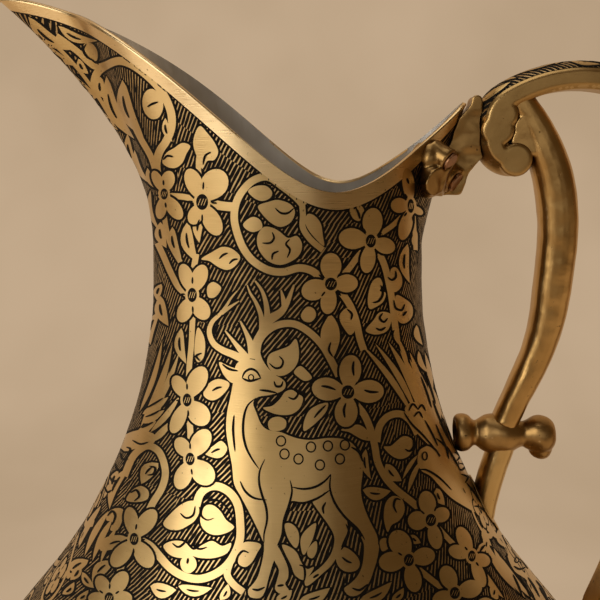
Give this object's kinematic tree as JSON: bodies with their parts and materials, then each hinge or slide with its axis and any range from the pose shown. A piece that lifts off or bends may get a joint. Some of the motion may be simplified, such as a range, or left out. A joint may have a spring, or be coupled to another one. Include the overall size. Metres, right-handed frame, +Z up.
{
  "type": "brass jug",
  "caption": "Tall engraved brass ewer with a raised pouring lip, a riveted strap handle with an inner stay, and a ring foot.",
  "frame": {"origin": "centre of the foot ring in the plane that it stands on", "axes": "+Z up, +X towards the handle, -X towards the pouring lip"},
  "size_m": [0.2445, 0.224, 0.3679],
  "materials": {
    "body_brass": "satin, hand engraved, aged",
    "cast_brass": "satin, cast and filed",
    "copper_rivet": "satin copper"
  },
  "bodies": {
    "root": {"neck_and_lip": "body_brass", "upper_body": "body_brass", "lower_bowl": "body_brass", "foot_ring": "body_brass", "neck_bracket": "cast_brass", "neck_rivets": "copper_rivet", "handle_strap": "cast_brass", "upper_stay": "cast_brass", "stay_collar": "cast_brass", "lower_stay": "cast_brass", "stay_foot_plate": "cast_brass", "strap_foot_plate": "cast_brass", "foot_rivets": "copper_rivet"}
  },
  "joints": []
}
